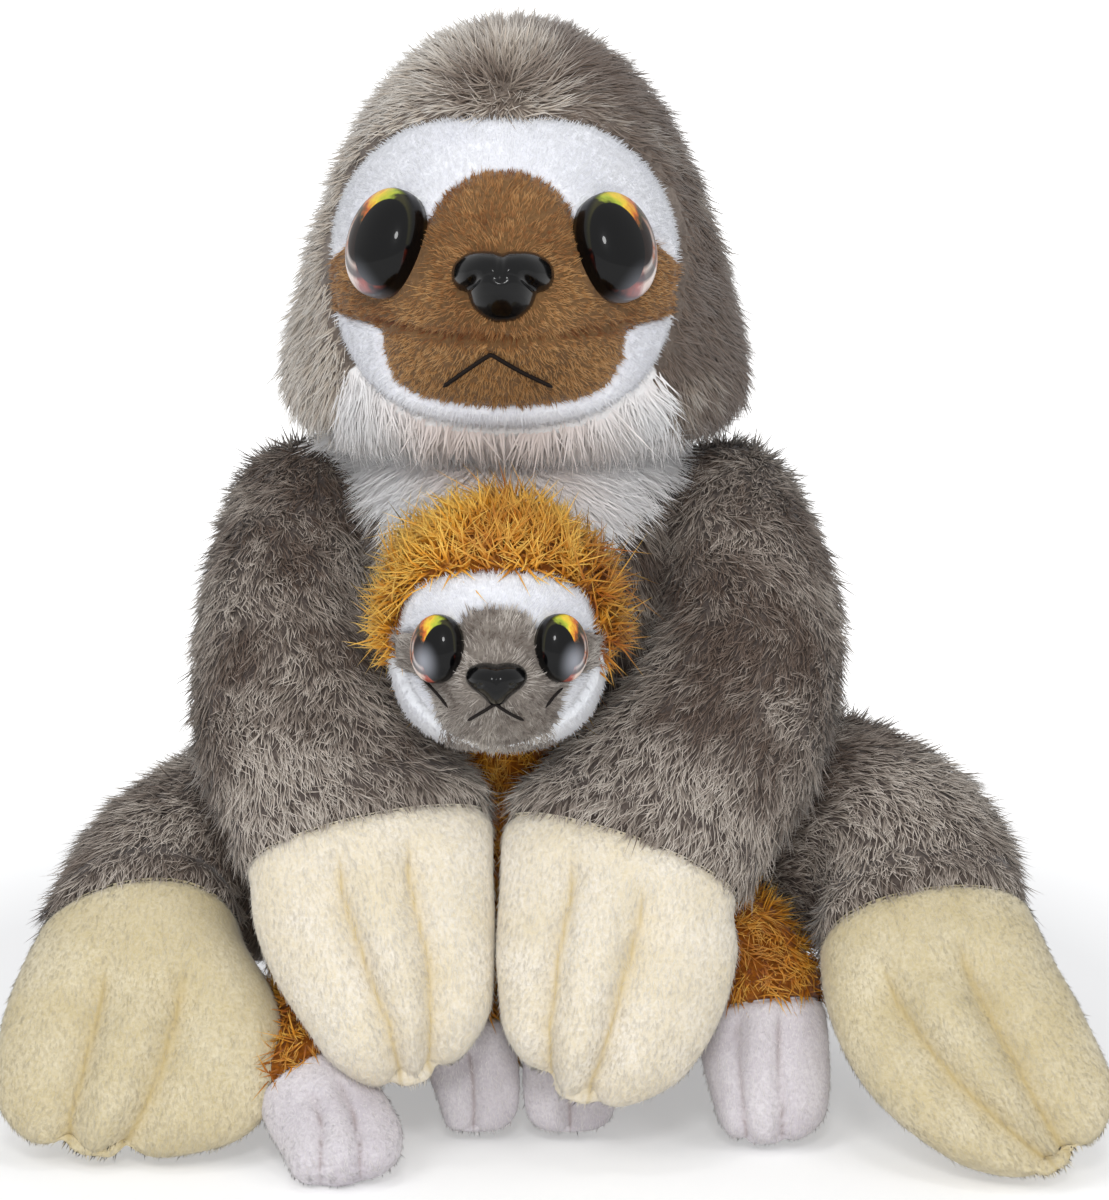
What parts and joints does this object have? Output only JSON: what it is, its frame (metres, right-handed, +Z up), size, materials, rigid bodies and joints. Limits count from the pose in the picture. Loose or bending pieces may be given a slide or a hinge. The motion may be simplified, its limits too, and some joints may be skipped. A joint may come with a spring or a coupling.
{
  "type": "plush sloth",
  "caption": "Seated plush sloth hugging a smaller orange sloth, with plastic eyes and noses and limbs that bend at sewn joints.",
  "frame": {"origin": "centre of the flat underside of the mother's seat panel, on the surface the toy sits on", "axes": "+Z up, +X towards the toy's right as seen from the front, and the faces look along -Y"},
  "size_m": [0.2388, 0.1662, 0.239],
  "materials": {
    "grey_fur": "matte",
    "white_pile": "matte",
    "brown_pile": "matte",
    "cream_pile": "matte",
    "orange_fur": "matte",
    "grey_pile": "matte",
    "fibrefill": "matte",
    "bean_cloth": "matte",
    "black_thread": "matte",
    "clear_acrylic": "gloss",
    "eye_print": "gloss",
    "black_plastic": "gloss",
    "white_plastic": "matte"
  },
  "bodies": {
    "torso": {"torso_shell": "grey_fur", "chest_bib": "white_pile", "seat_panel": "grey_fur", "bean_pouch": "bean_cloth", "torso_stuffing": "fibrefill", "baby_body_shell": "orange_fur", "baby_body_stuffing": "fibrefill", "baby_leg_left_sleeve": "orange_fur", "baby_leg_left_paw": "white_pile", "baby_arm_left_sleeve": "orange_fur", "baby_arm_left_paw": "white_pile", "baby_leg_right_sleeve": "orange_fur", "baby_leg_right_paw": "white_pile", "baby_arm_right_sleeve": "orange_fur", "baby_arm_right_paw": "white_pile"},
    "head": {"hood": "grey_fur", "brow_mask": "white_pile", "chin_mask": "white_pile", "muzzle": "brown_pile", "head_stuffing": "fibrefill", "eye_left_dome": "clear_acrylic", "eye_left_plate": "eye_print", "eye_left_washer": "white_plastic", "eye_right_dome": "clear_acrylic", "eye_right_plate": "eye_print", "eye_right_washer": "white_plastic", "nose": "black_plastic", "nose_washer": "white_plastic", "mouth_thread": "black_thread"},
    "baby_head": {"baby_brow_mask": "white_pile", "baby_chin_mask": "white_pile", "baby_muzzle": "grey_pile", "baby_head_stuffing": "fibrefill", "baby_eye_left_dome": "clear_acrylic", "baby_eye_left_plate": "eye_print", "baby_eye_left_washer": "white_plastic", "baby_cheek_thread_left": "black_thread", "baby_eye_right_dome": "clear_acrylic", "baby_eye_right_plate": "eye_print", "baby_eye_right_washer": "white_plastic", "baby_cheek_thread_right": "black_thread", "baby_nose": "black_plastic", "baby_nose_washer": "white_plastic", "baby_mouth_thread": "black_thread", "baby_hood": "orange_fur"},
    "arm_left": {"arm_left_sleeve": "grey_fur", "arm_left_paw": "cream_pile", "arm_left_stuffing": "fibrefill"},
    "leg_left": {"leg_left_sleeve": "grey_fur", "leg_left_foot": "cream_pile", "leg_left_stuffing": "fibrefill"},
    "arm_right": {"arm_right_sleeve": "grey_fur", "arm_right_paw": "cream_pile", "arm_right_stuffing": "fibrefill"},
    "leg_right": {"leg_right_sleeve": "grey_fur", "leg_right_foot": "cream_pile", "leg_right_stuffing": "fibrefill"}
  },
  "joints": [
    {"name": "head_turn", "type": "hinge", "parent": "torso", "child": "head", "pos_m": [0, -0.008, 0.118], "axis": [0, 0, 1], "range_deg": [-20, 20], "stiffness_Nm_per_rad": 0.25},
    {"name": "arm_left_lift", "type": "hinge", "parent": "torso", "child": "arm_left", "pos_m": [-0.048, -0.004, 0.123], "axis": [-0.5145, 0, -0.8575], "range_deg": [0, 45], "stiffness_Nm_per_rad": 0.12},
    {"name": "arm_right_lift", "type": "hinge", "parent": "torso", "child": "arm_right", "pos_m": [0.048, -0.004, 0.123], "axis": [-0.6082, -0.2281, 0.7603], "range_deg": [0, 45], "stiffness_Nm_per_rad": 0.12},
    {"name": "leg_left_spread", "type": "hinge", "parent": "torso", "child": "leg_left", "pos_m": [-0.046, -0.01, 0.04], "axis": [-0.4082, -0.4082, -0.8165], "range_deg": [0, 16], "stiffness_Nm_per_rad": 0.2},
    {"name": "leg_right_spread", "type": "hinge", "parent": "torso", "child": "leg_right", "pos_m": [0.046, -0.01, 0.04], "axis": [-0.4082, 0.4082, 0.8165], "range_deg": [0, 16], "stiffness_Nm_per_rad": 0.2},
    {"name": "baby_head_nod", "type": "hinge", "parent": "torso", "child": "baby_head", "pos_m": [-0.003, -0.071, 0.09], "axis": [1, 0, 0], "range_deg": [-6, 6], "stiffness_Nm_per_rad": 0.02}
  ]
}
